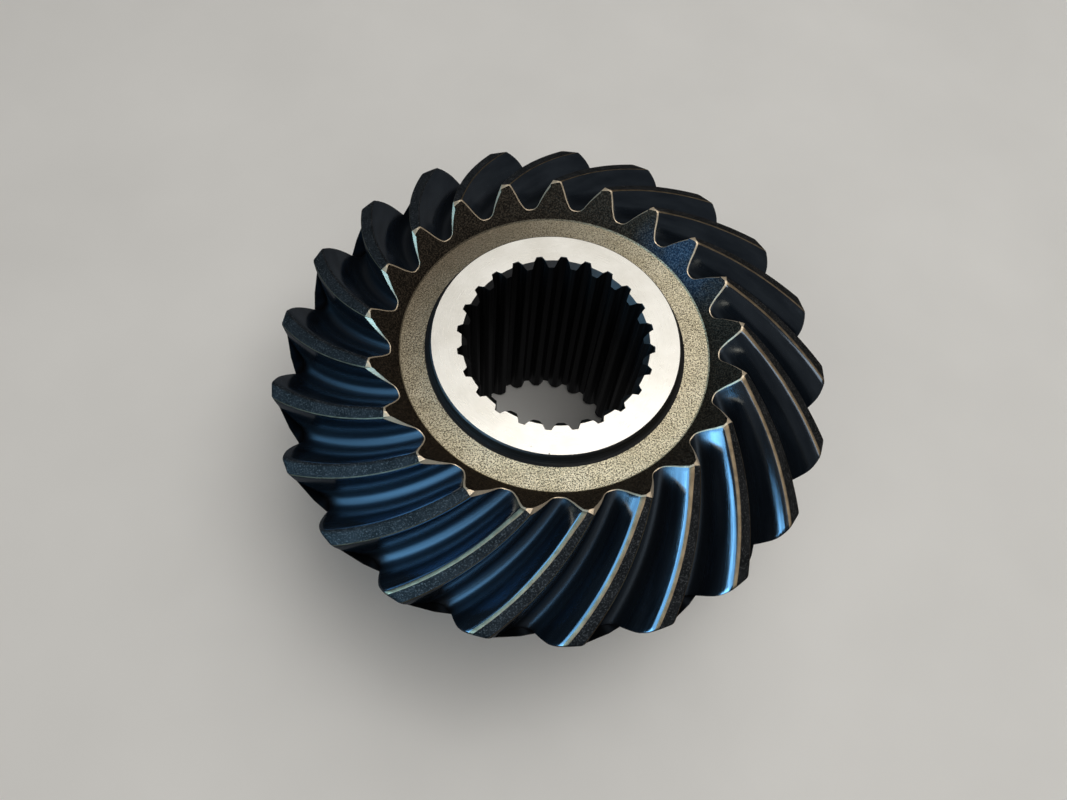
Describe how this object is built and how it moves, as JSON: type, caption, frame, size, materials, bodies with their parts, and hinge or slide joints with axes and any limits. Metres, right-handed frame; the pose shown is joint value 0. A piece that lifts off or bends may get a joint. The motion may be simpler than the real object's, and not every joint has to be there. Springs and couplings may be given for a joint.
{
  "type": "spiral bevel gear",
  "caption": "Right-hand spiral bevel gear with a raised ground front face, a splined through bore and a long rear bearing hub, forged in one piece.",
  "frame": {"origin": "on the gear's axis, at the rear end face of the hub, which the gear stands on", "axes": "+Z along the gear's axis from the rear hub to the small end of the teeth; the middle of one tooth lies on +X"},
  "size_m": [0.1501, 0.15, 0.0782],
  "materials": {
    "blackened_steel": "case-hardened alloy steel, blackened and lapped teeth, shot-blasted front, ground front face"
  },
  "bodies": {
    "root": {"spiral_bevel_gear": "blackened_steel"}
  },
  "joints": []
}
